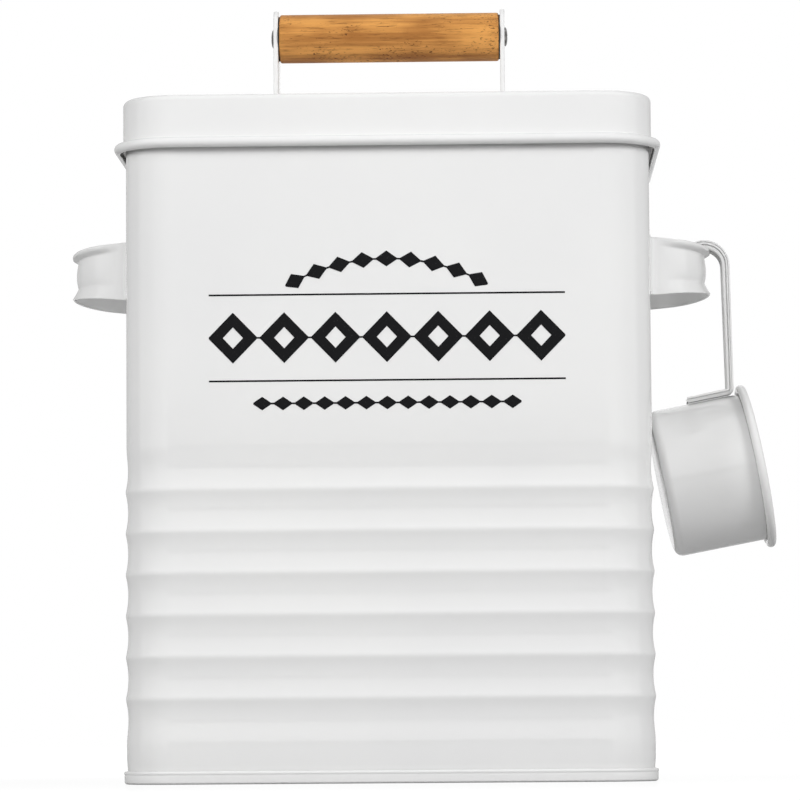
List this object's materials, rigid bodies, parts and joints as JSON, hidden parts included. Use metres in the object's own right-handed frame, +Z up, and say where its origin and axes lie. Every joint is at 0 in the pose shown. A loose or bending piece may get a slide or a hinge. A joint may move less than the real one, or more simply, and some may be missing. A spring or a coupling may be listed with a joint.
{
  "type": "laundry powder tin",
  "caption": "White enamelled sheet-steel laundry powder tin with ribbed sides, lift-off lid with a bamboo grip, side handles and a hanging scoop.",
  "frame": {"origin": "centre of the tin's footprint, on the plane that its base seam stands on; the base panel lies 2 mm above it", "axes": "+Z up, -Y out of the printed front, +X towards the side that the scoop hangs on"},
  "size_m": [0.3, 0.1578, 0.331],
  "materials": {
    "white_enamel": "gloss white enamel on sheet steel",
    "black_enamel": "gloss black printed enamel",
    "bamboo": "satin honey-brown bamboo with fine grain",
    "black_fibre": "matt black fibre",
    "dark_steel": "dark plated steel"
  },
  "bodies": {
    "container": {"body_shell": "white_enamel", "base_pan": "white_enamel", "side_handle_left": "white_enamel", "side_handle_right": "white_enamel", "scoop_cup": "white_enamel", "scoop_hook": "white_enamel", "print_rule_upper": "black_enamel", "print_rule_lower": "black_enamel", "print_lozenge_band": "black_enamel", "print_lozenge_arch": "black_enamel", "print_lozenge_row": "black_enamel"},
    "lid": {"lid_shell": "white_enamel", "lid_bracket": "white_enamel", "bamboo_grip": "bamboo", "bracket_rivet_left": "white_enamel", "bracket_rivet_right": "white_enamel", "grip_washer_left": "black_fibre", "grip_washer_right": "black_fibre", "grip_screw_left": "dark_steel", "grip_screw_right": "dark_steel"}
  },
  "joints": [
    {"name": "lid_lift", "type": "slide", "parent": "container", "child": "lid", "axis": [0, 0, 1], "range_m": [0, 0.15]}
  ]
}
